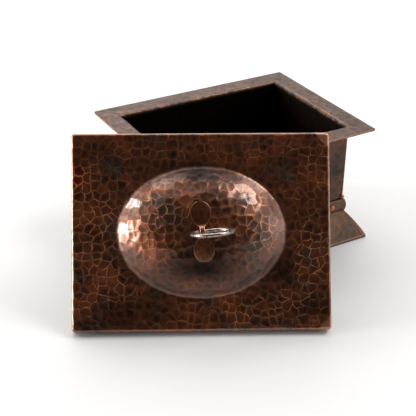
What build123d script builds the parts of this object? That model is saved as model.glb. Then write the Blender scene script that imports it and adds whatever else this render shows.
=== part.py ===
from build123d import *
from math import cos, radians, sin
import os

# A hammered copper box on a flared foot, with a loose domed lid that stands on its long
# edge in front of the box and leans on one corner of the flange.
# +X runs along the box's long side and +Y away from its front wall. The origin is at the
# middle of the foot's underside, and the table is at z = 0. All sizes are in millimetres.

# ---------------------------------------------------------------- driving dimensions
lid_length = 165.0
lid_width = 126.0
lid_rim_depth = 8.0           # turned-down edge, measured over the face
lid_corner_radius = 2.5       # in plan
lid_edge_radius = 2.0         # outside of the bend between face and rim
sheet = 1.2                   # copper sheet, the same gauge all over
lid_fit = 0.4                 # gap round the flange when the lid is on

box_height = 88.0             # table to the top of the flange
flange_reach = 14.0           # flange beyond the wall's outer face
flange_corner_radius = 2.5
flange_bend = 1.0             # inside radius of the bend under the flange
wall_foot = 17.5              # height of the wall's lower edge
floor_height = 20.5           # top of the floor plate

band_top = 29.5               # upper edge of the band round the body
band_bulge = 2.3              # how far the band stands out from the wall at its middle
waist_height = 20.0           # crease between band and flare
waist_reach = 1.5             # outer face of the crease beyond the wall
foot_reach = 14.3             # foot rim beyond the wall's outer face
flare_swell = 0.7             # how far the flare bows outwards at its middle

rim_height = 2.0              # foot rim
rim_width = 4.0
rim_overhang = 0.5            # foot rim beyond the flare's lower edge
rim_corner_radius = 1.2
rim_edge_radius = 0.5

rivet_head_radius = 2.4
rivet_head_height = 1.0
rivet_shank_radius = 1.2
rivet_tail_radius = 1.9
rivet_tail_height = 0.5
rivet_inset = 10.5            # from the wall's corner to the rivet
rivet_clearance = 0.05        # round the shank
rivet_seat = 0.05             # under the head, where the band curves away
bead_radius = 1.9
bead_inset = 0.4              # bead's centre inside each wall's outer face
bead_clearance = 0.02

dome_length = 107.0           # oval at the dome's crease
dome_width = 83.0
dome_height = 18.0
dome_crown = 0.85             # first handle of the dome's curve, as a share of its half width
dome_shoulder = 0.92          # second handle
dome_spread = 1.02            # where the curve runs out into the flat face

strap_turn = 5.0              # degrees, the strap is fitted slightly askew
strap_sheet = 1.0
strap_neck = 3.0              # width of the strap at the eye
strap_seat = 0.05             # gap between the strap and the dome
wing_reach = 19.0             # from the eye to the tip of each wing
wing_width = 13.0
eye_clearance = 1.5           # round the wire inside the eye
ring_clearance = 1.5          # under the wire, over the dome's top

ring_diameter = 28.0
ring_wire = 2.6
ring_offset = 5.6             # the ring sits askew in its eye by this much
ring_droop = 7.0              # degrees below square to the lid

lid_yaw = -27.9               # degrees, turned from the box's front
lid_lean = 31.6               # degrees back from upright
lean_offset = 17.5            # the flange's corner meets the lid this far left of its middle
lean_clearance = 0.4          # between the corner and the inside of the lid

# ---------------------------------------------------------------- derived sizes
flange_half_length = lid_length / 2 - sheet - lid_fit
flange_half_width = lid_width / 2 - sheet - lid_fit
wall_half_length = flange_half_length - flange_reach
wall_half_width = flange_half_width - flange_reach
reach = max(flange_reach, foot_reach) + 1.0
rivet_height = (band_top + waist_height) / 2
wire_radius = ring_wire / 2
ring_radius = ring_diameter / 2 - wire_radius
eye_radius = wire_radius + eye_clearance
eye_height = wire_radius + ring_clearance       # centre of the eye above the dome

# name, turn about Z, half the wall's length, distance from the middle to its outer face
sides = [
    ("front", 0, wall_half_length, wall_half_width),
    ("right", 90, wall_half_width, wall_half_length),
    ("back", 180, wall_half_length, wall_half_width),
    ("left", 270, wall_half_width, wall_half_length),
]


# Sections are drawn with x outwards from the wall's outer face and y upwards.
side_plane = Plane((0, 0, 0), x_dir=(0, -1, 0), z_dir=(-1, 0, 0))


# ---------------------------------------------------------------- box sides
def rounded_block(half_x, half_y, radius, low, high):
    """A block with rounded upright corners, between two heights."""
    outline = RectangleRounded(2 * half_x, 2 * half_y, radius)
    return extrude(Pos(0, 0, low) * outline, high - low)


def mitred(section, half_length):
    """Run a section along a side and cut both ends at 45 degrees.

    The side faces -Y, with the wall's outer face at y = 0."""
    run = extrude(section, half_length + reach, both=True)
    inner = 2 * sheet
    wedge = Polyline(
        (-half_length + inner, inner),
        (half_length - inner, inner),
        (half_length + reach, -reach),
        (-half_length - reach, -reach),
        close=True,
    )
    return run & extrude(make_face(wedge), box_height + 1)


def place(shape, turn, distance):
    """Move a side built at y = 0 out to its wall and turn it to face its way."""
    return Rot(0, 0, turn) * (Pos(0, -distance, 0) * shape)


def wall_section():
    """The wall with its flange bent outwards, a sheet of one gauge."""
    under = box_height - sheet
    outline = Polyline(
        (-sheet, wall_foot),
        (-sheet, box_height),
        (flange_reach, box_height),
        (flange_reach, under),
        (0, under),
        (0, wall_foot),
        close=True,
    )
    section = make_face(outline)
    outside_bend = section.vertices().sort_by_distance((-sheet, box_height))[0]
    section = fillet(outside_bend, flange_bend + sheet)
    inside_bend = section.vertices().sort_by_distance((0, under))[0]
    return side_plane * fillet(inside_bend, flange_bend)


def base_section():
    """The band that wraps the wall's foot, creased at the waist, and the flare below it."""
    toe = foot_reach - rim_overhang
    slant = (toe - waist_reach) / (waist_height - rim_height)
    across = sheet * (1 + slant**2) ** 0.5
    middle = (waist_height + rim_height) / 2
    bow = (toe + waist_reach) / 2 + flare_swell
    band_out = ThreePointArc(
        (sheet, band_top), (band_bulge, rivet_height), (waist_reach, waist_height)
    )
    flare_out = ThreePointArc(band_out @ 1, (bow, middle), (toe, rim_height))
    toe_edge = Line(flare_out @ 1, (toe - across, rim_height))
    crease = waist_height - sheet * slant / 2
    flare_in = ThreePointArc(toe_edge @ 1, (bow - across, middle), (waist_reach - sheet, crease))
    band_in = ThreePointArc(
        flare_in @ 1, (band_bulge - sheet, rivet_height), (0, band_top)
    )
    lip = Line(band_in @ 1, band_out @ 0)
    return side_plane * make_face([band_out, flare_out, toe_edge, flare_in, band_in, lip])


def rivet_places(half_length):
    """Where the rivets stand along a side: one near each corner."""
    return [-half_length + rivet_inset, half_length - rivet_inset]


def rivet_holes(half_length):
    """Drill the band and the wall for the rivets of one side."""
    radius = rivet_shank_radius + rivet_clearance
    drill = Rot(90, 0, 0) * Cylinder(radius, 4 * band_bulge)
    return [Pos(x, 0, rivet_height) * drill for x in rivet_places(half_length)]


def rivet():
    """A domed head on the band, a shank through band and wall, and a flat tail inside."""
    seat = band_bulge + rivet_seat
    head_sphere = (rivet_head_radius**2 + rivet_head_height**2) / (2 * rivet_head_height)
    head = Pos(0, 0, seat + rivet_head_height - head_sphere) * Sphere(head_sphere)
    cap = Pos(0, 0, seat) * Cylinder(
        rivet_head_radius, 2 * rivet_head_height, align=(Align.CENTER, Align.CENTER, Align.MIN)
    )
    shank = Pos(0, 0, -sheet) * Cylinder(
        rivet_shank_radius, sheet + seat, align=(Align.CENTER, Align.CENTER, Align.MIN)
    )
    tail = Pos(0, 0, -sheet) * Cylinder(
        rivet_tail_radius, rivet_tail_height, align=(Align.CENTER, Align.CENTER, Align.MAX)
    )
    return Rot(90, 0, 0) * ((head & cap) + shank + tail)


def corner_bead(x_side, y_side):
    """A round bead that wraps one corner seam and rests on the band."""
    ball = Pos(
        x_side * (wall_half_length - bead_inset),
        y_side * (wall_half_width - bead_inset),
        band_top + bead_radius * 0.8,
    ) * Sphere(bead_radius)
    body = Box(
        2 * (wall_half_length + bead_clearance), 2 * (wall_half_width + bead_clearance), 3 * box_height
    )
    below = Pos(0, 0, band_top + bead_clearance) * Box(
        3 * lid_length, 3 * lid_length, box_height, align=(Align.CENTER, Align.CENTER, Align.MAX)
    )
    return ball - body - below


def foot_rim():
    """The thick border that the box stands on."""
    half_x = wall_half_length + foot_reach
    half_y = wall_half_width + foot_reach
    frame = rounded_block(half_x, half_y, rim_corner_radius, 0, rim_height)
    outer_edges = frame.edges().group_by(Axis.Z)[-1]
    frame = fillet(outer_edges, rim_edge_radius)
    return frame - Box(2 * (half_x - rim_width), 2 * (half_y - rim_width), 3 * rim_height)


# ---------------------------------------------------------------- lid, built lying flat
# The lid is built with its face at z = 0, its middle at x = y = 0 and its rim pointing down.
def dome_block(level):
    """The solid under the dome's curve, standing on the level of the sheet's surface."""
    half_width = dome_width / 2
    crown = Bezier(
        (0, 0, dome_height),
        (dome_crown * half_width, 0, dome_height),
        (dome_shoulder * half_width, 0, 0),
        (dome_spread * half_width, 0, 0),
    )
    skirt = Line(crown @ 1, (dome_spread * half_width, 0, -sheet))
    bottom = Line(skirt @ 1, (0, 0, -sheet))
    axis = Line(bottom @ 1, crown @ 0)
    profile = make_face([crown, skirt, bottom, axis])
    round_dome = revolve(profile, Axis.Z)
    return Pos(0, 0, level) * scale(round_dome, by=(dome_length / dome_width, 1, 1))


def lid_panel():
    """One sheet: a flat face with an oval dome and four turned-down edges."""
    shell = rounded_block(lid_length / 2, lid_width / 2, lid_corner_radius, -lid_rim_depth, 0)
    shell = fillet(shell.faces().sort_by(Axis.Z)[-1].edges(), lid_edge_radius)
    hollow = rounded_block(
        lid_length / 2 - sheet,
        lid_width / 2 - sheet,
        lid_corner_radius - sheet,
        -lid_rim_depth - 1,
        -sheet,
    )
    hollow = fillet(hollow.faces().sort_by(Axis.Z)[-1].edges(), lid_edge_radius - sheet)
    return (shell + dome_block(0)) - hollow - dome_block(-sheet)


def wing_outline():
    """A leaf, narrow at the eye and round at its tip."""
    half_neck = strap_neck / 2
    half_wing = wing_width / 2
    side = Spline(
        (half_neck, eye_radius),
        (0.7 * half_wing, 0.3 * wing_reach),
        (half_wing, 0.62 * wing_reach),
        (0.72 * half_wing, 0.9 * wing_reach),
        (0, wing_reach),
        tangents=[(0.3, 1), (-1, 0)],
    )
    other_side = mirror(side, Plane.YZ)
    neck = Line(other_side @ 0, side @ 0)
    return make_face([side, other_side, neck])


def ring_strap():
    """Two wings that follow the dome, joined by an eye that stands up between them."""
    outline = wing_outline()
    wings = extrude(outline, 3 * dome_height) + extrude(Rot(0, 0, 180) * outline, 3 * dome_height)
    wings = Rot(0, 0, strap_turn) * wings
    wings = (wings & dome_block(strap_seat + strap_sheet)) - dome_block(strap_seat)
    outer = eye_radius + strap_sheet
    centre = dome_height + eye_height
    foot = dome_height + strap_seat + strap_sheet / 4
    arch = Pos(0, 0, centre) * Rot(0, 90, 0) * Cylinder(outer, strap_neck)
    legs = Pos(0, 0, foot) * Box(
        strap_neck, 2 * outer, centre - foot, align=(Align.CENTER, Align.CENTER, Align.MIN)
    )
    hole = Pos(0, 0, centre) * Rot(0, 90, 0) * Cylinder(eye_radius, 2 * strap_neck)
    slot = Pos(0, 0, centre) * Box(
        2 * strap_neck, 2 * eye_radius, 2 * eye_height, align=(Align.CENTER, Align.CENTER, Align.MAX)
    )
    above = Pos(0, 0, foot) * Box(
        lid_length, lid_width, 3 * dome_height, align=(Align.CENTER, Align.CENTER, Align.MIN)
    )
    eye = ((arch + legs) & above) - hole - slot
    return wings + Rot(0, 0, strap_turn) * eye


def ring_pull():
    """A wire ring through the eye, standing out from the lid and drooping a little."""
    rise = (ring_radius**2 - ring_offset**2) ** 0.5
    hoop = Pos(ring_offset, 0, rise) * Rot(90, 0, 0) * Torus(ring_radius, wire_radius)
    eye_centre = Pos(0, 0, dome_height + eye_height)
    return eye_centre * Rot(0, 0, strap_turn) * Rot(ring_droop, 0, 0) * hoop


def dome_rise(across, along):
    """Height of the dome's curve over a point of the lid, nought outside the dome."""
    half_length, half_width = dome_length / 2, dome_width / 2
    share = ((across / half_length) ** 2 + (along / half_width) ** 2) ** 0.5
    low, high = 0.0, 1.0
    while high - low > 1e-6:
        t = (low + high) / 2
        handles = dome_crown * (1 - t) ** 2 * t + dome_shoulder * (1 - t) * t**2
        if 3 * handles + dome_spread * t**3 < share:
            low = t
        else:
            high = t
    return dome_height * ((1 - low) ** 3 + 3 * (1 - low) ** 2 * low)


def lid_standing():
    """The lid stands on the back edge of its rim and leans on the flange's near left corner.

    The flat lid's own Y becomes the way up its leaning face."""
    stand_height = lid_rim_depth * sin(radians(lid_lean))
    depth = 0.0
    for _ in range(40):
        rise = box_height - stand_height - depth * sin(radians(lid_lean))
        up_face = rise / cos(radians(lid_lean)) - lid_width / 2
        depth = (depth + dome_rise(lean_offset, up_face) - sheet - lean_clearance) / 2
    turned = Rot(0, 0, lid_yaw) * Rot(90 - lid_lean, 0, 0)
    meeting = (turned * Pos(-lean_offset, up_face, depth)).position
    return Pos(
        -flange_half_length - meeting.X, -flange_half_width - meeting.Y, box_height - meeting.Z
    ) * turned


lid_stand = lid_standing()

# ---------------------------------------------------------------- build and write
parts = {}
rivets = []
for name, turn, half_length, distance in sides:
    holes = rivet_holes(half_length)
    flange_outline = rounded_block(
        flange_half_length, flange_half_width, flange_corner_radius, -1, box_height + 1
    )
    wall = place(mitred(wall_section(), half_length) - holes, turn, distance)
    parts["wall_" + name] = wall & flange_outline
    parts["base_" + name] = place(mitred(base_section(), half_length) - holes, turn, distance)
    for x in rivet_places(half_length):
        rivets.append(place(Pos(x, 0, rivet_height) * rivet(), turn, distance))

parts["floor_plate"] = Pos(0, 0, floor_height) * Box(
    2 * (wall_half_length - sheet),
    2 * (wall_half_width - sheet),
    sheet,
    align=(Align.CENTER, Align.CENTER, Align.MAX),
)
parts["foot_rim"] = foot_rim()
parts["band_rivets"] = Compound(children=rivets)
parts["corner_beads"] = Compound(
    children=[corner_bead(x_side, y_side) for x_side in (-1, 1) for y_side in (-1, 1)]
)
parts["lid_panel"] = lid_stand * lid_panel()
parts["ring_strap"] = lid_stand * ring_strap()
parts["ring_pull"] = lid_stand * ring_pull()

os.makedirs("parts", exist_ok=True)
for name, shape in parts.items():
    export_step(shape, "parts/" + name + ".step")
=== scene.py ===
# %% [markdown]
# A hand-hammered copper box with a domed lid. The lid is off: it stands on its long edge in front of the box
# and leans on one corner of the flange. The imported model brings the sizes, the places and the joints. Every
# sheet is made again here with its hammer marks, its worn edges, its patina and some painted light and shade,
# because those are what the eye reads as hammered copper.

# %% Load the fixed frame
import math

import bmesh
import bpy
import numpy as np
from mathutils import Matrix, Vector


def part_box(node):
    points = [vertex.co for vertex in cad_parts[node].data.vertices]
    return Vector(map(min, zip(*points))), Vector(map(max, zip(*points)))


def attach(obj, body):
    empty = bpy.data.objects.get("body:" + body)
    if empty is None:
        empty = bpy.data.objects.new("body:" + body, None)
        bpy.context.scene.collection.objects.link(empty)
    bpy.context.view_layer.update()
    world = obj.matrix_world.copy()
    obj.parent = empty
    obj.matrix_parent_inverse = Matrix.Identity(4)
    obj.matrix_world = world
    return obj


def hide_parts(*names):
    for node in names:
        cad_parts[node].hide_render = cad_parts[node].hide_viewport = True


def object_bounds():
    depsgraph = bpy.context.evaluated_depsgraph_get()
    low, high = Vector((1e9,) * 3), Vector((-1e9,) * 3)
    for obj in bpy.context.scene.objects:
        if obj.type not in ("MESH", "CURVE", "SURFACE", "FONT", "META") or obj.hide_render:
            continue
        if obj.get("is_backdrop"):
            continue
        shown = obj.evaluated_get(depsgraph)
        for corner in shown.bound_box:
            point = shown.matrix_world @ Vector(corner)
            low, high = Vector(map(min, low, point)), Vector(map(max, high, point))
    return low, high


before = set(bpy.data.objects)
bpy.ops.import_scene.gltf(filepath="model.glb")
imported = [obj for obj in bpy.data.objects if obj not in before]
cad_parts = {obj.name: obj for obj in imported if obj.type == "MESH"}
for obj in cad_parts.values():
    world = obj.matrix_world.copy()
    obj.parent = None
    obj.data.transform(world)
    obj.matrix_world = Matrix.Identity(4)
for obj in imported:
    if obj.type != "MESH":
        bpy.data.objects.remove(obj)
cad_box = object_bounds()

mm = 0.001
print("nodes:", sorted(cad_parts))

# %% [markdown]
# The lid was designed lying flat and then stood up. Hammering is easiest to describe on the
# flat lid too, so the first step finds the turn between the two. The lid is turned about the
# upright axis and leans back; the model's own box, read in those turned axes, then gives the
# lid's middle and sizes, so no place is typed in twice.

# %% The lid's own axes
lid_turn = math.radians(-27.9)
lid_lean = math.radians(31.6)
lid_axes = Matrix.Rotation(lid_turn, 4, "Z") @ Matrix.Rotation(math.pi / 2 - lid_lean, 4, "X")


def box_along(node, axes):
    """Lowest and highest corners of a CAD node, measured along turned axes."""
    back = np.array(axes.inverted().to_3x3())
    corners = np.array([v.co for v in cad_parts[node].data.vertices]) @ back.T
    return corners.min(0), corners.max(0)


lid_low, lid_high = box_along("lid_panel", lid_axes)
lid_length, lid_width, lid_total = lid_high - lid_low
rim_depth = 8.0 * mm
dome_height = lid_total - rim_depth
lid_middle = Vector(((lid_low + lid_high) / 2).tolist())
lid_middle.z = lid_low[2] + rim_depth
lid_to_world = lid_axes @ Matrix.Translation(lid_middle)
print(f"lid {lid_length / mm:.1f} x {lid_width / mm:.1f} mm, dome {dome_height / mm:.1f} mm high")

# %% [markdown]
# Each finish is given its colours by name where it is made: a black laid on as painted shade and on dark
# seams, the redder brown of heated copper, a grey laid on as a painted reflection in the dome's crease, and
# bare metal where hands and cloths have rubbed it and where highlights are painted. They are sRGB, and one
# function turns them to linear. A second function adds a node and its links, so that a material reads as a
# list of what feeds what.

# %% Colours and the node helper
# Painted shade: this black darkens the lid's dim patches and the box's inside, and also draws the dark
# soldered seams.
shade_and_darkening_black = "0A0605"
fire_red = "5E0A02"
fire_gold = "E08648"
# Painted reflection: this grey, laid round the dome's crease, stands for the pale room mirrored there.
crease_reflection_grey = "5A4840"
rgba = {"data_type": "RGBA"}
smooth = {"interpolation_type": "SMOOTHSTEP"}
times = {"operation": "MULTIPLY"}
times_plus = {"operation": "MULTIPLY_ADD"}
dot = {"operation": "DOT_PRODUCT"}


def linear(colour):
    """An sRGB hex colour as a linear RGBA tuple."""
    channels = [int(colour[i : i + 2], 16) / 255 for i in (0, 2, 4)]
    curve = [c / 12.92 if c <= 0.04045 else ((c + 0.055) / 1.055) ** 2.4 for c in channels]
    return (*curve, 1.0)


def add(tree, kind, settings=None, get=None, **inputs):
    """Add a node and return one of its outputs, the first one unless it is named.

    A shader node's kind is written without its prefix. An input takes a socket or a plain
    value, and a list fills inputs that share a name."""
    own_name = kind.startswith(("Geometry", "NodeGroup"))
    node = tree.nodes.new(kind if own_name else "ShaderNode" + kind)
    for name, value in (settings or {}).items():
        setattr(node, name, value)
    for name, value in inputs.items():
        wanted = name.replace("_", " ").lower()
        sockets = [s for s in node.inputs if s.enabled and s.name.lower() == wanted]
        for socket, item in zip(sockets, value if isinstance(value, list) else [value]):
            if isinstance(item, bpy.types.NodeSocket):
                tree.links.new(item, socket)
            else:
                socket.default_value = item
    outputs = [s for s in node.outputs if s.enabled and get in (None, s.name)]
    return outputs[0] if outputs else None


def ramp(tree, value, low, high, bottom=0.0, top=1.0, kind=None):
    """Turn a value that runs from low to high into one that runs from bottom to top."""
    return add(tree, "MapRange", kind, Value=value, From_Min=low, From_Max=high, To_Min=bottom,
               To_Max=top)


def blend(tree, share, under, over):
    """Lay one colour over another, by a share from 0 to 1."""
    return add(tree, "Mix", rgba, Factor=share, A=under, B=over)


def empty_tree(data):
    """Give a material or a world a node tree with nothing in it."""
    data.use_nodes = True
    data.node_tree.nodes.clear()
    return data.node_tree


def into_scene(thing):
    """Put a new object in the scene."""
    bpy.context.scene.collection.objects.link(thing)
    return thing


print("fire red in linear light:", [round(c, 3) for c in linear(fire_red)])

# %% [markdown]
# The camera stands where a person sits at a table: a little to the left of the box's front
# and 30 degrees above it, looking almost straight at the leaning lid. A long lens keeps the
# box's sides close to parallel.

# %% Camera
camera_turn = math.radians(-30.34)
camera_height = math.radians(29.65)
camera_roll = math.radians(0.74)
camera_distance = 0.700
aim = Vector((-0.0301, -0.0180, 0.0333))
camera_axes = (
    Matrix.Rotation(camera_turn, 4, "Z")
    @ Matrix.Rotation(math.pi / 2 - camera_height, 4, "X")
    @ Matrix.Rotation(camera_roll, 4, "Z")
)
view_line = camera_axes.to_3x3() @ Vector((0, 0, -1))
camera = bpy.data.objects.new("camera", bpy.data.cameras.new("camera"))
camera.data.lens = 85.0
camera.matrix_world = Matrix.Translation(aim - view_line * camera_distance) @ camera_axes
into_scene(camera)
bpy.context.scene.camera = camera
print("camera at", [round(c, 3) for c in camera.matrix_world.translation])

# %% [markdown]
# The studio is a pale table under soft light. Polished and patinated metal shows what
# surrounds it, so the lights are placed for their reflections: one high on the left and one
# high on the right for the dome's upper highlights, and a bright, empty far side that the
# flange mirrors. Two lamps near the table's level are round glows in the world, because a
# lamp that stands on the table would cut an edge of light across it. The side behind the
# camera stays dim, and that is what makes the flat of the lid look dark.

# %% Table, world and lights
def soft_light(name, direction, distance, width, height, power):
    """A rectangular light that faces the object from one direction."""
    data = bpy.data.lights.new(name, "AREA")
    data.shape = "RECTANGLE"
    data.size = width
    data.size_y = height
    data.energy = power
    lamp = bpy.data.objects.new(name, data)
    place = Vector(direction).normalized()
    lamp.location = aim + place * distance
    lamp.rotation_euler = place.to_track_quat("Z", "Y").to_euler()
    return into_scene(lamp)


lid_right, lid_up, lid_front = [Vector(lid_axes.col[i][:3]) for i in range(3)]
bright_sky = 0.95
dim_sky = 0.03
soft_light("top_left_softbox", lid_front * 0.14 - lid_right * 0.82 + lid_up * 0.55, 1.4, 0.22, 0.16, 4.2)
soft_light("top_right_softbox", lid_front * 0.38 + lid_right * 0.58 + lid_up * 0.72, 1.4, 0.75, 0.45, 9.0)
soft_light("far_overhead", (0.30, 1.35, 1.60), 2.3, 1.8, 1.4, 29)

world = bpy.data.worlds.new("studio")
sky = empty_tree(world)
direction = add(sky, "TexCoord", get="Generated")
towards_camera = add(sky, "VectorMath", dot, get="Value", Vector=[direction, tuple(-view_line)])
glow = ramp(sky, towards_camera, 0.45, 0.84, bright_sky, dim_sky, kind=smooth)
upwards = add(sky, "SeparateXYZ", Vector=direction, get="Z")
horizon = ramp(sky, upwards, 0.03, 0.20, bright_sky, 0.0, kind=smooth)
glow = add(sky, "Math", {"operation": "MAXIMUM"}, Value=[glow, horizon])
low_lamps = (  # direction, cosine at the rim and at the full middle, strength
    (lid_front * 0.16 - lid_right * 0.97 + lid_up * 0.02, 0.970, 0.996, 34.0),
    (lid_front * 0.16 + lid_right * 0.97 + lid_up * 0.14, 0.940, 0.990, 1.3),
)
for way, outer, inner, strength in low_lamps:
    facing = add(sky, "VectorMath", dot, get="Value", Vector=[direction, tuple(way.normalized())])
    lamp = ramp(sky, facing, outer, inner, 0.0, strength, kind=smooth)
    glow = add(sky, "Math", {"operation": "ADD"}, Value=[glow, lamp])
backdrop = add(sky, "Background", Color=(1.0, 0.985, 0.97, 1.0), Strength=glow)
add(sky, "OutputWorld", Surface=backdrop)
bpy.context.scene.world = world
bpy.context.scene.view_settings.view_transform = "Standard"

table_material = bpy.data.materials.new("matt_white_laminate")
tree = empty_tree(table_material)
place = add(tree, "TexCoord", get="Object")
mottle = add(tree, "TexNoise", Vector=place, Scale=9.0, Detail=3.0)
tint = blend(tree, mottle, linear("D2D2D2"), linear("D6D6D5"))
grain = add(tree, "TexNoise", Vector=place, Scale=900.0, Detail=2.0)
relief = add(tree, "Bump", Height=grain, Strength=0.04, Distance=0.5 * mm)
surface = add(tree, "BsdfPrincipled", Base_Color=tint, Roughness=0.62, Normal=relief)
add(tree, "OutputMaterial", Surface=surface)

half_table = 15.0
table_mesh = bpy.data.meshes.new("table")
corners = [(x * half_table, y * half_table, 0) for x, y in ((-1, -1), (1, -1), (1, 1), (-1, 1))]
table_mesh.from_pydata(corners, [], [(0, 1, 2, 3)])
table_mesh.materials.append(table_material)
table = into_scene(bpy.data.objects.new("table", table_mesh))
table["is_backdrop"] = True

# %% [markdown]
# Hammered, patinated copper. The smith planishes the sheet with a polished round face, and
# each blow leaves a shallow bowl; where bowls meet there is a raised line. The patina is
# darkest in the bowls and rubs off the raised lines first. The pattern is a cell texture
# laid on the flattened sheet, stored on each piece as the attribute "flat" in millimetres.
# The same cells move the surface in the next step, so colour and shape agree. The eye gets
# a dark honeycomb with thin warm lines, broken by patches of black, red and grey.

# %% The hammered finish
marks_randomness = 0.8


def hammered_copper(name, mark, deep, body, patch, dull, line, edge, line_strength, coat,
                    rough=0.36, streaks=0.0):
    """Patinated copper with hammer marks of one size, in millimetres.

    Body is the patina's brown, deep the dark in the marks, patch and dull the red and the grey clouds, line
    the raised borders, and edge what is rubbed bare or lit by a painted highlight."""
    material = bpy.data.materials.new(name)
    tree = empty_tree(material)
    flat = add(tree, "Attribute", {"attribute_name": "flat"}, get="Vector")
    # These states carry painted light as well: wear holds painted highlights, the dark layer painted shade
    # and dark seams, and the crease grey a painted reflection.
    wear, strike, soot, polish, ember, haze = [
        add(tree, "Attribute", {"attribute_name": label}, get="Fac")
        for label in ("wear", "strike", "soot", "polish", "ember", "haze")
    ]
    bowls = add(tree, "TexVoronoi", {"voronoi_dimensions": "2D"}, Vector=flat,
                Scale=1 / mark, Randomness=marks_randomness)
    each = add(tree, "SeparateColor", Color=bowls.node.outputs["Color"])
    to_line = add(tree, "TexVoronoi", {"voronoi_dimensions": "2D", "feature": "DISTANCE_TO_EDGE"},
                  Vector=flat, Scale=1 / mark, Randomness=marks_randomness)
    cloud = add(tree, "TexNoise", Vector=flat, Scale=1 / 26, Detail=5.0, Roughness=0.65)
    island = add(tree, "TexNoise", {"noise_dimensions": "4D"}, Vector=flat, Scale=1 / 21,
                 W=3.7, Detail=5.0, Roughness=0.62)
    blotch = add(tree, "TexNoise", {"noise_dimensions": "4D"}, Vector=flat, Scale=1 / 3.6,
                 W=8.2, Detail=4.0, Roughness=0.65)
    fleck = add(tree, "TexNoise", Vector=flat, Scale=1 / 0.9, Detail=3.0, Roughness=0.7)

    # The body colour: brown, with a black heart in most marks and small blotches.
    heart = ramp(tree, to_line, 0.05, 0.36, kind=smooth)
    some = ramp(tree, each, 0.0, 1.0, 0.35, 1.0)
    for share in (some, strike):
        heart = add(tree, "Math", times, Value=[heart, share])
    dark = add(tree, "Math", times, Value=[blotch, 1.5])
    for part, weight in ((heart, 0.42), (cloud, 1.3), (fleck, 0.8)):
        dark = add(tree, "Math", times_plus, Value=[part, weight, dark])
    dark = ramp(tree, dark, 1.40, 2.40)
    colour = blend(tree, dark, linear(body), linear(deep))
    reddish = ramp(tree, island, 0.50, 0.70, top=0.8)
    colour = blend(tree, reddish, colour, linear(patch))
    dulled = ramp(tree, cloud, 0.52, 0.66, top=0.7)
    colour = blend(tree, dulled, colour, linear(dull))
    if streaks:
        long = add(tree, "Mapping", {"vector_type": "POINT"}, Vector=flat, Scale=(0.35, 0.02, 1.0))
        run = add(tree, "TexNoise", Vector=long, Scale=1.0, Detail=4.0, Roughness=0.7)
        run = ramp(tree, run, 0.45, 0.75, top=streaks)
        colour = blend(tree, run, colour, linear(deep))

    # The raised lines: warm where they are rubbed, lost where the patina is whole.
    line_width = ramp(tree, blotch, 0.3, 0.7, 0.03, 0.085)
    near = ramp(tree, to_line, 0.0, line_width, 1.0, 0.0, kind=smooth)
    rubbed_and_lit = add(tree, "Math", times_plus, Value=[polish, 0.35, island])
    rubbed_and_lit = ramp(tree, rubbed_and_lit, 0.50, 0.74, 0.10, 1.0)
    broken = ramp(tree, blotch, 0.36, 0.58, 0.10, 1.0)
    for share in (rubbed_and_lit, broken, strike, line_strength):
        near = add(tree, "Math", times, Value=[near, share])
    colour = blend(tree, near, colour, linear(line))

    # What lies over the patina: bare edges and painted highlights, the fire-red corner, a painted grey
    # reflection in the dome's crease, and painted shade with dark seams.
    bare_and_highlit = add(tree, "Math", times_plus, Value=[blotch, 0.9, wear])
    bare_and_highlit = ramp(tree, bare_and_highlit, 0.75, 1.35, top=0.9)
    flame = ramp(tree, to_line, 0.02, 0.11, 1.0, 0.0)
    fire = blend(tree, flame, linear(fire_red), linear(fire_gold))
    layers = ((bare_and_highlit, linear(edge)), (ember, fire), (haze, linear(crease_reflection_grey)), (soot, linear(shade_and_darkening_black)))
    for share, layer in layers:
        colour = blend(tree, share, colour, layer)

    # Dull where the patina is thick, and a wax coat everywhere but on painted shade and dark seams.
    shine = ramp(tree, fleck, 0.3, 0.7, rough - 0.06, rough + 0.10)
    shine = add(tree, "Math", times_plus, Value=[dulled, 0.12, shine])
    bowl = add(tree, "Math", {"operation": "POWER"}, Value=[bowls, 2.0])
    bowl = add(tree, "Math", times, Value=[bowl, strike])
    height = add(tree, "Math", times_plus, Value=[fleck, 0.10, bowl])
    relief = add(tree, "Bump", Height=height, Strength=0.35, Distance=0.25 * mm)
    waxed = ramp(tree, soot, 0.0, 1.0, coat, 0.0)
    surface = add(tree, "BsdfPrincipled", Base_Color=colour, Metallic=0.9, Roughness=shine,
                  Normal=relief, Coat_Weight=waxed, Coat_Roughness=0.20)
    add(tree, "OutputMaterial", Surface=surface)
    print(name, "with", len(tree.nodes), "nodes and hammer marks of", mark, "mm")
    return material


lid_mark = 5.7
body_mark = 6.4
lid_copper = hammered_copper(
    "hammered_brown_copper", lid_mark, deep="1A110D", body="824828", patch="98502C", dull="3C372F",
    line="F0A070", edge="C89070", line_strength=1.0, coat=1.0,
)
body_copper = hammered_copper(
    "waxed_grey_brown_copper", body_mark, deep="30241F", body="5C463B", patch="6A4632", dull="342A25",
    line="9A7058", edge="9C6C50", line_strength=0.5, coat=0.12, streaks=0.5,
)
foot_copper = hammered_copper(
    "rubbed_grey_brown_copper", body_mark, deep="40322A", body="6A574C", patch="7A543C", dull="5E4A3C",
    line="A87C5C", edge="A87450", line_strength=0.4, coat=0.15, rough=0.42,
)

# %% [markdown]
# Rivet heads, corner beads and the ring are handled the most and stay bright. They are too
# small for hammer cells, so their finish is rubbed metal: a warm bare colour, browner where
# the rubbing doesn't reach, with fine scratches of about a third of a millimetre.

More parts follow.
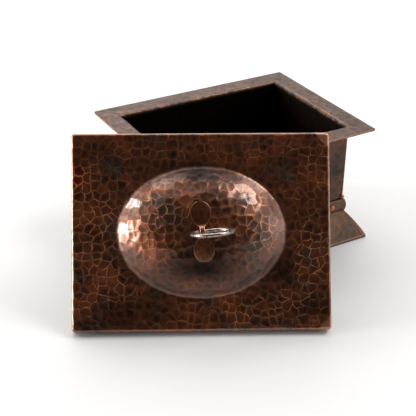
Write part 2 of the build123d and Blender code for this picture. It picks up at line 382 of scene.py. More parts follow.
# %% The rubbed finish
def rubbed_metal(name, bright, brown, rough, shade):
    """Bare metal with brown left in patches, more of them where shade is lower."""
    material = bpy.data.materials.new(name)
    tree = empty_tree(material)
    place = add(tree, "TexCoord", get="Object")
    in_mm = add(tree, "Mapping", Vector=place, Scale=(1 / mm, 1 / mm, 1 / mm))
    patch = add(tree, "TexNoise", Vector=in_mm, Scale=1 / 2.6, Detail=4.0, Roughness=0.65)
    scratch = add(tree, "TexNoise", Vector=in_mm, Scale=1 / 0.35, Detail=2.0)
    left = ramp(tree, patch, shade, shade + 0.2)
    colour = blend(tree, left, linear(bright), linear(brown))
    shine = ramp(tree, scratch, 0.0, 1.0, rough - 0.06, rough + 0.12)
    relief = add(tree, "Bump", Height=patch, Strength=0.25, Distance=0.2 * mm)
    surface = add(tree, "BsdfPrincipled", Base_Color=colour, Metallic=1.0, Roughness=shine, Normal=relief)
    add(tree, "OutputMaterial", Surface=surface)
    print(name, "with", len(tree.nodes), "nodes")
    return material


bright_metal = rubbed_metal("rubbed_bare_copper", "B87A54", "5E3A28", 0.32, 0.50)
ring_metal = rubbed_metal("handled_bronze_wire", "A0948C", "2C2320", 0.26, 0.48)

# %% [markdown]
# Hammering as geometry. A Geometry Nodes tree reads the flattened coordinates and sinks
# each cell into a bowl, with a small tilt of its own, because no two blows land alike. A
# slow wave over the whole sheet takes away the machined flatness. The attribute "strike"
# says how hard each place was hammered. Everything moves inwards, so no piece grows.

# %% The hammering tree
hammering = bpy.data.node_groups.new("hammering", "GeometryNodeTree")
for label, kind, low in (
    ("Geometry", "NodeSocketGeometry", None),
    ("Mark Size", "NodeSocketFloat", 5.7),
    ("Dent Depth", "NodeSocketFloat", 0.3),
    ("Tilt", "NodeSocketFloat", 0.1),
    ("Wave", "NodeSocketFloat", 0.2),
    ("Material", "NodeSocketMaterial", None),
):
    socket = hammering.interface.new_socket(label, in_out="INPUT", socket_type=kind)
    if low is not None:
        socket.default_value = low
hammering.interface.new_socket("Geometry", in_out="OUTPUT", socket_type="NodeSocketGeometry")
given = hammering.nodes.new("NodeGroupInput").outputs
flat = add(hammering, "GeometryNodeInputNamedAttribute", {"data_type": "FLOAT_VECTOR"}, Name="flat")
strike = add(hammering, "GeometryNodeInputNamedAttribute", {"data_type": "FLOAT"}, Name="strike")
per_mm = add(hammering, "Math", {"operation": "DIVIDE"}, Value=[1.0, given["Mark Size"]])
cell = add(hammering, "TexVoronoi", {"voronoi_dimensions": "2D"}, Vector=flat, Scale=per_mm,
           Randomness=marks_randomness)
edge = add(hammering, "TexVoronoi", {"voronoi_dimensions": "2D", "feature": "DISTANCE_TO_EDGE"},
           Vector=flat, Scale=per_mm, Randomness=marks_randomness)
square = add(hammering, "Math", {"operation": "POWER"}, Value=[cell, 2.0])
bowl = add(hammering, "Math", {"operation": "MULTIPLY_ADD", "use_clamp": True}, Value=[square, -2.2, 1.0])
inner = ramp(hammering, edge, 0.0, 0.22, kind=smooth)
random_lean = add(hammering, "VectorMath", {"operation": "SUBTRACT"},
                  Vector=[cell.node.outputs["Color"], (0.5, 0.5, 0.5)])
from_middle = add(hammering, "VectorMath", {"operation": "SUBTRACT"},
                  Vector=[flat, cell.node.outputs["Position"]])
lean = add(hammering, "VectorMath", dot, get="Value", Vector=[random_lean, from_middle])
lean = add(hammering, "Math", times, Value=[lean, inner])
lean = add(hammering, "Math", times, Value=[lean, given["Tilt"]])
depth = add(hammering, "Math", times_plus, Value=[bowl, given["Dent Depth"], lean])
swell = add(hammering, "TexNoise", Vector=flat, Scale=1 / 38, Detail=1.0)
depth = add(hammering, "Math", times_plus, Value=[swell, given["Wave"], depth])
depth = add(hammering, "Math", times, Value=[depth, strike])
depth = add(hammering, "Math", times, Value=[depth, -mm])
normal = add(hammering, "GeometryNodeInputNormal")
push = add(hammering, "VectorMath", {"operation": "SCALE"}, Vector=normal, Scale=depth)
moved = add(hammering, "GeometryNodeSetPosition", Geometry=given["Geometry"], Offset=push)
whole = add(hammering, "GeometryNodeRealizeInstances", Geometry=moved)
dressed = add(hammering, "GeometryNodeSetMaterial", Geometry=whole, Material=given["Material"])
add(hammering, "NodeGroupOutput", Geometry=dressed)


def through_nodes(piece, tree, **values):
    """Run a geometry tree on a piece and keep the result as a plain mesh."""
    modifier = piece.modifiers.new("nodes", "NODES")
    modifier.node_group = tree
    for item in tree.interface.items_tree:
        key = item.name.replace(" ", "_").lower()
        if item.in_out == "INPUT" and key in values:
            modifier[item.identifier] = values[key]
    graph = bpy.context.evaluated_depsgraph_get()
    mesh = bpy.data.meshes.new_from_object(
        piece.evaluated_get(graph), preserve_all_data_layers=True, depsgraph=graph
    )
    piece.modifiers.clear()
    piece.data = mesh
    mesh.name = piece.name
    return piece


print("hammering tree with", len(hammering.nodes), "nodes")

# %% [markdown]
# A sheet is kept as a grid of points, each with its place, its flattened coordinates, how
# worn it is and how hard it was struck. Two helpers join grids into closed pieces: one
# stitches a sheet's two faces along their border, and one wraps a section that has been run
# along a line. Both turn the faces outwards at the end.

# %% Grids to meshes
# Three of these states carry painted light: the rubbing holds painted highlights, the dark layer painted
# shade and dark seams, the crease grey a painted reflection.
surface_states = ("wear", "strike", "soot", "polish", "ember", "haze")
columns_kept = 6 + len(surface_states)
chance = np.random.default_rng(7)
ripples = [
    (chance.uniform(5.5, 12.0), chance.uniform(0, 2 * math.pi), chance.uniform(0, 2 * math.pi), side)
    for side in (0, 1) for _ in range(7)
]


def wander(flat):
    """Let the flattened coordinates drift a little, so that the marks' borders curve."""
    drifted = flat.copy()
    for wavelength, heading, phase, side in ripples:
        run = flat[..., 0] * math.cos(heading) + flat[..., 1] * math.sin(heading)
        drifted[..., side] += 0.055 * wavelength / 2 * np.sin(2 * math.pi * run / wavelength + phase)
    return drifted


def point_grid(place, flat, wear=0.0, strike=1.0, soot=0.0, polish=0.5, ember=0.0, haze=0.0):
    """Pack a point's place (3), flattened place (3) and surface states (6) into columns."""
    shape = place.shape[:-1]
    drifted = wander(flat[..., :2])
    state = (0.0, wear, strike, soot, polish, ember, haze)
    extra = [np.broadcast_to(value, shape)[..., None] for value in state]
    return np.concatenate([place, drifted, *extra], -1)


def to_piece(name, points, faces, to_world=Matrix.Identity(4)):
    """A smooth closed mesh from packed points, turned outwards and set in place."""
    points = np.asarray(points, float).reshape(-1, columns_kept)
    turn = np.array(to_world)
    mesh = bpy.data.meshes.new(name)
    mesh.from_pydata((points[:, :3] @ turn[:3, :3].T + turn[:3, 3]).tolist(), [], faces)
    flat = mesh.attributes.new("flat", "FLOAT_VECTOR", "POINT")
    flat.data.foreach_set("vector", points[:, 3:6].ravel())
    for column, label in enumerate(surface_states, start=6):
        mesh.attributes.new(label, "FLOAT", "POINT").data.foreach_set("value", points[:, column])
    work = bmesh.new()
    work.from_mesh(mesh)
    bmesh.ops.recalc_face_normals(work, faces=work.faces)
    work.to_mesh(mesh)
    work.free()
    mesh.shade_smooth()
    piece = bpy.data.objects.new(name, mesh)
    return into_scene(piece)


def run_length(points):
    """How far along a line of points each one is."""
    return np.concatenate([[0], np.cumsum(np.linalg.norm(np.diff(points, axis=0), axis=1))])


def quads(index):
    """The faces of a grid of point numbers."""
    around = [index[:-1, :-1], index[:-1, 1:], index[1:, 1:], index[1:, :-1]]
    return np.stack([corner.ravel() for corner in around], 1).tolist()


def border(index):
    """The point numbers round the edge of a grid, in order."""
    return np.concatenate([index[0, :-1], index[:-1, -1], index[-1, :0:-1], index[:0:-1, 0]])


def stitched(name, top, bottom, to_world=Matrix.Identity(4)):
    """A sheet from its two faces. The bottom grid may have half the top's cells."""
    upper = np.arange(top.shape[0] * top.shape[1]).reshape(top.shape[:2])
    lower = upper.size + np.arange(bottom.shape[0] * bottom.shape[1]).reshape(bottom.shape[:2])
    faces = quads(upper) + quads(lower)
    above, below = border(upper), border(lower)
    ratio = len(above) // len(below)
    for k, point in enumerate(below):
        following = below[(k + 1) % len(below)]
        run = [int(above[(k * ratio + j) % len(above)]) for j in range(ratio + 1)]
        faces.append([int(point), *run, int(following)])
    points = np.concatenate([top.reshape(-1, columns_kept), bottom.reshape(-1, columns_kept)])
    return to_piece(name, points, faces, to_world)


def wrapped(name, loop_grid, to_world=Matrix.Identity(4), ends=True):
    """A run of closed sections: rows go round the section and columns along the run."""
    rows, columns = loop_grid.shape[:2]
    index = np.arange(rows * columns).reshape(rows, columns)
    index = np.concatenate([index, index[:1]])
    if not ends:
        index = np.concatenate([index, index[:, :1]], 1)
    faces = quads(index)
    if ends:
        faces += [index[:-1, 0].tolist(), index[:-1, -1].tolist()]
    return to_piece(name, loop_grid, faces, to_world)


def finish_piece(piece, body, slot, *nodes, sharp=50):
    """Keep hard corners crisp, ride on a body and stand for the plain nodes."""
    piece.data.set_sharp_from_angle(angle=math.radians(sharp))
    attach(piece, body)
    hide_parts(*nodes)
    triangles = sum(len(p.vertices) - 2 for p in piece.data.polygons)
    print(f"{piece.name}: {triangles} triangles on {body}")


# %% [markdown]
# The lid is one sheet: a flat panel with four turned-down edges and an oval dome raised
# from behind. It is drawn as a grid that rolls over the edge and down the rim, so the marks
# run on without a break, as they do on a folded sheet. Over the dome, the flattened
# coordinates are stretched by the length of its curve, so the marks stay the same size on
# the slope. The underside is the same sheet, one gauge lower, with half the cells.

# %% The lid
sheet = 1.2 * mm
lid_corner = 2.5 * mm
lid_bend = 2.0 * mm
half_dome = np.array([107.0, 83.0]) / 2 * mm
curve = np.linspace(0, 1, 600)
dome_out = 3 * 0.85 * (1 - curve) ** 2 * curve + 3 * 0.92 * (1 - curve) * curve**2 + 1.02 * curve**3
dome_up = dome_height * ((1 - curve) ** 3 + 3 * (1 - curve) ** 2 * curve)
dome_reach = half_dome.mean()
dome_run = run_length(np.stack([dome_out * dome_reach, dome_up], 1))


def dome_share(x, y):
    """How far out a point is, where 1 is the dome's crease."""
    return np.hypot(x / half_dome[0], y / half_dome[1])


def dome_rise(x, y):
    """Height of the dome over the lid's flat face."""
    return np.interp(dome_share(x, y), dome_out, dome_up, right=0.0)


def flattened(x, y):
    """Sheet coordinates in millimetres, with the dome's slope pressed flat."""
    share = dome_share(x, y)
    extra = np.interp(share, dome_out, dome_run - dome_out * dome_reach)
    away = np.maximum(np.hypot(x, y), 1e-9)
    drift_x = 1.3 * np.sin(x / mm / 17 + 1.1) * np.cos(y / mm / 13)
    drift_y = 1.3 * np.cos(x / mm / 15) * np.sin(y / mm / 19 + 0.4)
    u = (x + x / away * extra) / mm + drift_x
    v = (y + y / away * extra) / mm + drift_y
    return np.stack([u, v], -1)


crease_share = 0.95
crease_spread = 0.08
fold_size = 10.5 * mm
fold_fade = 1.2 * mm

# Patches on the lid: across, up, half width and half height in mm, strength. The first list is painted shade,
# dark where the lid mirrors the dim room, on the dome's lower crown and top slope and round the dome; then
# polish, then fire colour.
lid_painted_shade = [
    (0, -23, 30, 12, 0.95), (2, -14, 20, 9, 0.8), (-48, -52, 22, 9, 0.6), (70, -50, 14, 10, 0.6),
    (-62, 50, 20, 9, 0.5), (62, 46, 18, 10, 0.3), (50, -26, 9, 9, 0.65), (-24, 16, 12, 9, 0.35),
    (-2, 36, 24, 8, 0.95), (8, 22, 9, 8, 0.5), (-70, -58, 12, 6, 0.5), (26, -20, 14, 10, 0.4),
]
lid_polish = [
    (-66, 0, 16, 34, 1.0), (-62, -36, 18, 14, 0.9), (45, -50, 30, 10, 0.9), (70, -12, 12, 34, 0.8),
    (-22, 50, 26, 7, 0.6), (-24, 10, 18, 16, 0.8), (34, 6, 12, 20, 0.7), (70, 44, 12, 12, 0.5),
]
lid_ember = [(-79, 35, 6, 8, 0.95), (-81, 22, 3, 6, 0.5), (-8, -57, 14, 3, 0.2)]


def patches(x, y, spots):
    """How strongly a list of soft patches covers each point."""
    total = 0 * x
    for across, up, wide, high, strength in spots:
        away = ((x / mm - across) / wide) ** 2 + ((y / mm - up) / high) ** 2
        total = np.maximum(total, strength * np.exp(-away))
    return total


def lid_face(columns, rows, level, corner, bend, strike):
    """One face of the lid, with its rim, at a level at or under the outside."""
    lead = corner - bend
    arc = bend * math.pi / 2
    run = lead + arc + rim_depth + level - bend
    inner_x = lid_length / 2 - lid_corner
    inner_y = lid_width / 2 - lid_corner
    a, b = np.meshgrid(
        np.linspace(-inner_x - run, inner_x + run, columns),
        np.linspace(-inner_y - run, inner_y + run, rows),
    )
    over_x = np.maximum(np.abs(a) - inner_x, 0)
    over_y = np.maximum(np.abs(b) - inner_y, 0)
    along = np.maximum(over_x, over_y)
    less = np.minimum(over_x, over_y)
    swing = math.pi / 4 * less / np.maximum(along, 1e-9)
    swing = np.where(over_y > over_x, math.pi / 2 - swing, swing)
    bent = np.clip((along - lead) / bend, 0, math.pi / 2)
    reach = np.minimum(along, lead) + bend * np.sin(bent)
    drop = bend * (1 - np.cos(bent)) + np.maximum(along - lead - arc, 0)
    x = np.sign(a) * (np.minimum(np.abs(a), inner_x) + reach * np.cos(swing))
    y = np.sign(b) * (np.minimum(np.abs(b), inner_y) + reach * np.sin(swing))
    x = np.where(over_x + over_y > 0, x, a)
    y = np.where(over_x + over_y > 0, y, b)
    z = level - drop + dome_rise(x, y)
    slope = np.exp(-(((dome_share(x, y) - crease_share) / crease_spread) ** 2))
    middle = (along - lead - arc * 0.5) / (0.5 * arc)
    # Painted highlight with wear: the middle of the rim's bend is lightened, most on the left and least at
    # the top, after where the light falls on it; the corners' fold and the raw edge are real wear.
    rubbed_and_lit = np.where(over_y > over_x, np.where(b > 0, 0.18, 0.50), np.where(a > 0, 0.45, 0.62))
    worn_and_highlit = rubbed_and_lit * np.exp(-(middle**2)) * (along > 0)
    worn_and_highlit = np.maximum(worn_and_highlit, 0.8 * np.clip(1 - (run - along) / (0.9 * mm), 0, 1))
    to_corner = (lid_length / 2 - np.abs(x)) + (lid_width / 2 - np.abs(y)) * 0.9
    fold = np.clip((fold_size - to_corner) / fold_fade, 0, 1) * np.where(x > 0, 1.0, 0.45) * (strike == 1)
    over_edge = 1 - np.clip((along - lead) / arc, 0, 1)
    struck = strike * (1 - 0.5 * slope) * over_edge * (1 - 0.9 * fold)
    worn_and_highlit = np.maximum(worn_and_highlit, 0.66 * fold)
    fire = patches(x, y, lid_ember) * over_edge
    # The grey laid round the dome's crease is a painted reflection of the pale room.
    return point_grid(
        np.stack([x, y, z], -1), flattened(a, b), worn_and_highlit, struck,
        patches(x, y, lid_painted_shade), patches(x, y, lid_polish), fire, 0.35 * slope,
    )


lid_columns, lid_rows = 289, 227
lid_top = lid_face(lid_columns, lid_rows, 0.0, lid_corner, lid_bend, 1.0)
lid_under = lid_face(
    lid_columns // 2 + 1, lid_rows // 2 + 1, -sheet, lid_corner - sheet, lid_bend - sheet, 0.4
)
lid = stitched("lid_panel_hammered", lid_top, lid_under, lid_to_world)
through_nodes(lid, hammering, mark_size=lid_mark, dent_depth=0.30, tilt=0.11, wave=0.5, material=lid_copper)
finish_piece(lid, "lid", "lid_copper", "lid_panel")

# %% [markdown]
# The strap that holds the ring is one strip of the same copper. Its ends are hammered out
# into leaves that lie on the dome, and its middle stands up as an eye. A path runs from one
# leaf's tip over the eye to the other tip, and the strip follows it with a changing width.

# %% The strap
strap_turn = math.radians(5.0)
strap_sheet = 1.0 * mm
strap_seat = 0.05 * mm
wing_reach = 19.0 * mm
wing_middle = 0.62 * wing_reach
half_wing = 6.5 * mm
half_neck = 1.5 * mm
eye_radius = 2.8 * mm
eye_height = 2.8 * mm
eye_mid = eye_radius + strap_sheet / 2
root_bend = 1.0 * mm


def strap_path():
    """Half of the strap's middle line, from the leaf's tip to the top of the eye."""
    tip = wing_middle + (wing_reach - wing_middle) * np.sin(np.radians(np.linspace(87, 0, 14)))
    leaf = np.linspace(wing_middle, eye_mid + root_bend, 14)[1:]
    y = np.concatenate([tip, leaf])
    z = dome_rise(0 * y, y) + strap_seat + strap_sheet / 2
    turn = np.radians(np.linspace(0, 90, 6))[1:]
    root_y = eye_mid + root_bend - root_bend * np.sin(turn)
    root_z = z[-1] + root_bend * (1 - np.cos(turn))
    centre = dome_height + eye_height
    arch = np.radians(np.linspace(0, 90, 10))
    arch_y = eye_mid * np.cos(arch)
    arch_z = centre + eye_mid * np.sin(arch)
    return np.concatenate([y, root_y, arch_y]), np.concatenate([z, root_z, arch_z])


half_y, half_z = strap_path()
path_y = np.concatenate([half_y, -half_y[-2::-1]])
path_z = np.concatenate([half_z, half_z[-2::-1]])
step_y, step_z = np.gradient(path_y), np.gradient(path_z)
step = np.hypot(step_y, step_z)
out_y, out_z = step_z / step, -step_y / step
reach_now = np.abs(path_y)
to_tip = np.clip((reach_now - wing_middle) / (wing_reach - wing_middle), 0, 1)
to_root = np.clip((reach_now - eye_radius) / (wing_middle - eye_radius), 0, 1)
half_now = half_neck + (half_wing - half_neck) * np.sin(np.pi / 2 * to_root) ** 0.8
half_now = np.where(to_tip > 0, half_wing * np.sqrt(1 - to_tip**2), half_now)
on_dome = np.clip((reach_now - eye_mid - root_bend) / (2 * mm), 0, 1)
strap_run = run_length(np.stack([path_y, path_z], 1))


def strap_face(side):
    """The strap's outside (side 1) or inside (side -1)."""
    across = np.sin(np.radians(np.linspace(-90, 90, 17)))
    x = half_now[:, None] * across
    flat_y = np.broadcast_to(path_y[:, None], x.shape)
    sag = (dome_rise(x, flat_y) - dome_rise(0 * x, flat_y)) * on_dome[:, None]
    thin = 1 - 0.45 * np.abs(across) ** 6
    half_sheet = side * strap_sheet / 2 * thin
    y = flat_y + out_y[:, None] * half_sheet
    z = path_z[:, None] + out_z[:, None] * half_sheet + sag
    from_edge = half_now[:, None] * (1 - np.abs(across))
    # Painted highlight: a thin bright line along the strap's outer edges. The lighter eye is real rubbing.
    worn_and_highlit = 0.95 * np.exp(-((from_edge / (0.35 * mm)) ** 2)) * (side > 0)
    worn_and_highlit = np.maximum(worn_and_highlit, 0.30 * (1 - on_dome[:, None]))
    flat = np.stack([x / mm + 200, np.broadcast_to(strap_run[:, None], x.shape) / mm], -1)
    return point_grid(np.stack([x, y, z], -1), flat, worn_and_highlit, 0.2, 0.35 * on_dome[:, None])


strap_to_world = lid_to_world @ Matrix.Rotation(strap_turn, 4, "Z")
strap = stitched("ring_strap_leaves", strap_face(1), strap_face(-1), strap_to_world)
through_nodes(strap, hammering, mark_size=lid_mark, dent_depth=0.22, tilt=0.1, wave=0.1, material=lid_copper)
finish_piece(strap, "lid", "lid_copper", "ring_strap")

# %% [markdown]
# The pull is a ring of thick wire, bent round, closed with a butt joint and threaded
# through the eye. The wire isn't perfectly round: a light filing makes it a little flatter
# and uneven, and that breaks up its long highlight.

# %% The ring
wire_radius = 1.3 * mm
ring_radius = 12.7 * mm
ring_offset = 5.6 * mm
ring_droop = math.radians(7.0)
ring_rise = math.sqrt(ring_radius**2 - ring_offset**2)
round_ring = np.linspace(0, 2 * math.pi, 145)[:-1]
round_wire = np.linspace(0, 2 * math.pi, 21)[:-1]
along_ring, about_wire = np.meshgrid(round_ring, round_wire)
uneven = 1 - 0.03 * (1 + np.sin(7 * along_ring + 2 * about_wire) * np.cos(3 * along_ring - about_wire))
joint_dip = 1 - 0.16 * np.exp(-(((along_ring - 4.2) / 0.035) ** 2))
wire = wire_radius * uneven * joint_dip
ring_x = (ring_radius + wire * np.cos(about_wire)) * np.cos(along_ring)
ring_y = (ring_radius + wire * np.cos(about_wire)) * np.sin(along_ring)
ring_z = wire * np.sin(about_wire)
ring_flat = np.stack([along_ring * ring_radius / mm, about_wire * wire_radius / mm], -1)
ring_grid = point_grid(np.stack([ring_x, ring_y, ring_z], -1), ring_flat, 0.0, 0.0)
ring_to_world = (
    lid_to_world
    @ Matrix.Translation((0, 0, dome_height + eye_height))
    @ Matrix.Rotation(strap_turn, 4, "Z")
    @ Matrix.Rotation(ring_droop, 4, "X")
    @ Matrix.Translation((ring_offset, 0, ring_rise))
    @ Matrix.Rotation(math.pi / 2, 4, "X")
)
ring = wrapped("ring_pull_wire", ring_grid, ring_to_world, ends=False)
ring.data.materials.append(ring_metal)
finish_piece(ring, "ring", "ring_metal", "ring_pull")

# %% [markdown]
# The box's body is four walls, mitred and soldered at the corners. Each wall is one sheet
# with its top bent out into a flange. A wall is a closed section, drawn once as straight
# lines with rounded corners, and run along the side; a point that stands further out also
# runs further along, and that makes the mitre by itself.

# %% Sections and sides
box_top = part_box("wall_front")[1].z
wall_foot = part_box("wall_front")[0].z
flange_half_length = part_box("wall_right")[1].x
flange_half_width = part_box("wall_back")[1].y
flange_reach = 14.0 * mm
wall_half_length = flange_half_length - flange_reach
wall_half_width = flange_half_width - flange_reach
under_flange = box_top - sheet
flange_corner = 2.5 * mm
sides = (
    ("front", 0, wall_half_length, wall_half_width),
    ("right", 90, wall_half_width, wall_half_length),
    ("back", 180, wall_half_length, wall_half_width),
    ("left", 270, wall_half_width, wall_half_length),
)


def rounded_section(corners, step):
    """A closed outline: straight lines joined by arcs, with points about one step apart.

    Each corner is outwards, up and radius."""
    outline = []
    for i, (out, up, radius) in enumerate(corners):
        here = np.array([out, up])
        before = np.array(corners[i - 1][:2]) - here
        after = np.array(corners[(i + 1) % len(corners)][:2]) - here
        before /= np.linalg.norm(before)
        after /= np.linalg.norm(after)
        half = math.acos(np.clip(before @ after, -1, 1)) / 2
        centre = here + (before + after) / np.linalg.norm(before + after) * radius / math.sin(half)
        start = here + before * radius / math.tan(half) - centre
        end = here + after * radius / math.tan(half) - centre
        first = math.atan2(start[1], start[0])
        turn = (math.atan2(end[1], end[0]) - first + math.pi) % (2 * math.pi) - math.pi
        pieces = max(3, math.ceil(abs(turn) * radius / (0.6 * step)))
        angles = first + turn * np.linspace(0, 1, pieces + 1)
        outline += (centre + radius * np.stack([np.cos(angles), np.sin(angles)], 1)).tolist()
    return evenly(outline, step)


def evenly(outline, step):
    """Add points to the long straight stretches of a closed outline."""
    points = []
    for here, there in zip(outline, outline[1:] + outline[:1]):
        here, there = np.array(here), np.array(there)
        pieces = max(1, round(np.linalg.norm(there - here) / step))
        points += [here + (there - here) * k / pieces for k in range(pieces)]
    return np.array(points)


def run_side(section, half_length, step, wear, strike, start):
    """Run a section along a side, with mitred ends."""
    around = run_length(section)
    columns = round(2 * half_length / step)
    ends = np.array([0, 0.15, 0.35, 0.65]) * mm / half_length
    along = np.linspace(-1 + mm / half_length, 1 - mm / half_length, columns)
    along = np.concatenate([-1 + ends, along, (1 - ends)[::-1]])
    reach = half_length + section[:, 0]
    x = reach[:, None] * along
    out = np.broadcast_to(section[:, 0][:, None], x.shape)
    up = np.broadcast_to(section[:, 1][:, None], x.shape)
    to_seam = reach[:, None] * (1 - np.abs(along))
    flat = np.stack([x / mm + start, np.broadcast_to(around[:, None], x.shape) / mm], -1)
    place = np.stack([x, -out, up], -1)
    # Painted shade: the walls' inner faces darken from 4 mm below the mouth downwards. The dark solder line
    # along the seams is the metal's own.
    painted_inner_shade = 0.85 * np.clip(-out / sheet, 0, 1) * np.clip((box_top - up) / (4 * mm), 0, 1)
    solder = 0.55 * np.exp(-((to_seam / (0.3 * mm)) ** 2)) * (up > under_flange)
    hold = np.clip(to_seam / (2.5 * mm), 0, 1)
    return point_grid(
        place, flat, wear(out, up, to_seam), strike(out, up) * hold, np.maximum(painted_inner_shade, solder)
    )


def side_to_world(turn, distance):
    """The turn and shift that takes a side to its wall."""
    return Matrix.Rotation(math.radians(turn), 4, "Z") @ Matrix.Translation((0, -distance, 0))


print(f"walls {2 * wall_half_length / mm:.1f} by {2 * wall_half_width / mm:.1f} mm outside")

# %% [markdown]
# The walls wear where a hand or a cloth meets them: along the flange's lip, over the bend
# at the mouth, and down the four upright corners. The flange's outer corners are rounded by
# drawing the points beyond the arc back to it.

# %% Walls
wall_section = rounded_section(
    [
        (0, wall_foot, 0.3 * mm),
        (0, under_flange, 1.0 * mm),
        (flange_reach, under_flange, 0.35 * mm),
        (flange_reach, box_top, 0.35 * mm),
        (-sheet, box_top, 2.2 * mm),
        (-sheet, wall_foot, 0.3 * mm),
    ],
    1.0 * mm,
)


def wall_wear(out, up, to_seam):
    """Worn at the lip, at the mouth's bend and at the upright corners."""
    lip = 0.80 * np.exp(-(((flange_reach - out) / (0.5 * mm)) ** 2))
    mouth = 0.50 * np.exp(-(((out + 0.3 * mm) / (0.7 * mm)) ** 2) - ((box_top - up) / (1.2 * mm)) ** 2)
    corner = 0.75 * np.exp(-((to_seam / (0.9 * mm)) ** 2)) * (out > -0.5 * mm) * (up < under_flange)
    return np.maximum(np.maximum(lip, mouth), corner)


def wall_strike(out, up):
    """The flange is planished on a stake, and the walls more lightly."""
    return np.where(up > under_flange - 0.5 * mm, 0.9, 0.5) * np.clip((flange_reach - out) / mm, 0.2, 1)


def round_corner(grid, half_x, half_y, radius, world_turn):
    """Draw the points beyond a rounded plan corner back to its arc."""
    place = grid[..., :3] @ np.array(world_turn)[:3, :3].T + np.array(world_turn)[:3, 3]
    over = np.abs(place[..., :2]) - (np.array([half_x, half_y]) - radius)
    beyond = (over > 0).all(-1) & (np.hypot(over[..., 0], over[..., 1]) > radius)
    length = np.maximum(np.hypot(over[..., 0], over[..., 1]), 1e-9)
    pull = np.where(beyond, radius / length, 1.0)
    inner = np.array([half_x, half_y]) - radius
    place[..., :2] = np.where(
        beyond[..., None], np.sign(place[..., :2]) * (inner + over * pull[..., None]), place[..., :2]
    )
    back = np.array(world_turn.inverted())
    grid[..., :3] = place @ back[:3, :3].T + back[:3, 3]
    return grid


for number, (name, turn, half_length, distance) in enumerate(sides):
    where = side_to_world(turn, distance)
    grid = run_side(wall_section, half_length, 1.0 * mm, wall_wear, wall_strike, 300 * number)
    grid = round_corner(grid, flange_half_length, flange_half_width, flange_corner, where)
    wall = wrapped(f"wall_{name}_sheet", grid, where)
    through_nodes(wall, hammering, mark_size=body_mark, dent_depth=0.22, tilt=0.08, wave=0.25,
                  material=body_copper)
    finish_piece(wall, "box", "body_copper", f"wall_{name}")

# %% [markdown]
# Round the foot of the walls goes a band that swells like a half-round moulding, creases at
# a narrow waist and flares out to the foot. It is one sheet on each side, mitred as the
# walls are. The flare bows a little, and its corner ridges are rubbed to bare copper.

# %% Band and flare
band_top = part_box("base_front")[1].z
rim_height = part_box("foot_rim")[1].z
foot_half_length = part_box("foot_rim")[1].x
foot_reach = foot_half_length - wall_half_length
waist_height = 20.0 * mm
waist_reach = 1.5 * mm
band_bulge = 2.3 * mm
flare_swell = 0.7 * mm
toe_reach = foot_reach - 0.5 * mm
slant = (toe_reach - waist_reach) / (waist_height - rim_height)
sheet_across = sheet * math.sqrt(1 + slant**2)
rivet_height = (band_top + waist_height) / 2


def bow(share):
    """A shallow arc: nothing at both ends and 1 in the middle."""
    return 4 * share * (1 - share)


band_points = 14
band_share = np.linspace(0, 1, band_points)
band_up = band_top + (waist_height - band_top) * band_share
band_mid = (sheet + waist_reach) / 2
band_out = sheet + (waist_reach - sheet) * band_share + (band_bulge - band_mid) * bow(band_share)
flare_share = np.linspace(0, 1, 26)[1:]
flare_up = waist_height + (rim_height - waist_height) * flare_share
flare_out = waist_reach + (toe_reach - waist_reach) * flare_share + flare_swell * bow(flare_share)
outside = np.stack([np.concatenate([band_out, flare_out]), np.concatenate([band_up, flare_up])], 1)
depth_in = np.concatenate([np.full(band_points, sheet), sheet + (sheet_across - sheet) * flare_share])
inside = outside - np.stack([depth_in, 0 * depth_in], 1)
base_section = np.concatenate([outside, inside[::-1]])


def base_wear(out, up, to_seam):
    """Worn along the band's top edge, at the corner ridges and above the foot."""
    top = 0.8 * np.clip(1 - (band_top - up) / (0.8 * mm), 0, 1) * (out > 0.6 * mm)
    widen = 0.7 * mm + 0.12 * (waist_height - up).clip(0)
    ridge = 0.9 * np.exp(-((to_seam / widen) ** 2)) * (up < waist_height)
    ridge = np.maximum(ridge, 0.7 * np.exp(-((to_seam / (0.7 * mm)) ** 2)))
    foot = 0.5 * np.clip(1 - (up - rim_height) / (2 * mm), 0, 1)
    return np.maximum(np.maximum(top, ridge), foot)


def base_strike(out, up):
    """The flare shows its blows more than the narrow band."""
    return np.where(up < waist_height, 0.55, 0.3)


for number, (name, turn, half_length, distance) in enumerate(sides):
    where = side_to_world(turn, distance)
    grid = run_side(base_section, half_length, 1.0 * mm, base_wear, base_strike, 300 * number + 150)
    base = wrapped(f"base_{name}_sheet", grid, where)
    through_nodes(base, hammering, mark_size=body_mark, dent_depth=0.22, tilt=0.08, wave=0.15,
                  material=foot_copper)
    finish_piece(base, "box", "foot_copper", f"base_{name}")

# %% [markdown]
# The box stands on a flat border of thicker strip. Its section is a small rounded bar, run
# round the foot along a rectangle with rounded corners.

# %% Foot rim
rim_width = 4.0 * mm
rim_corner = 1.2 * mm


def rounded_rectangle(half_x, half_y, radius, step):
    """Points and outward directions round a rectangle with rounded corners."""
    points, directions = [], []
    for quarter, (sign_x, sign_y) in enumerate(((1, -1), (1, 1), (-1, 1), (-1, -1))):
        angles = np.radians(-90 + 90 * quarter + np.linspace(0, 90, 7))
        way = np.stack([np.cos(angles), np.sin(angles)], 1)
        centre = np.array([sign_x * (half_x - radius), sign_y * (half_y - radius)])
        points += (centre + way * radius).tolist()
        directions += way.tolist()
    full_points, full_ways = [], []
    for k, outwards in enumerate(directions):
        here, there = np.array(points[k]), np.array(points[(k + 1) % len(points)])
        pieces = max(1, round(np.linalg.norm(there - here) / step))
        full_points += [here + (there - here) * j / pieces for j in range(pieces)]
        full_ways += [outwards] * pieces
    return np.array(full_points), np.array(full_ways)


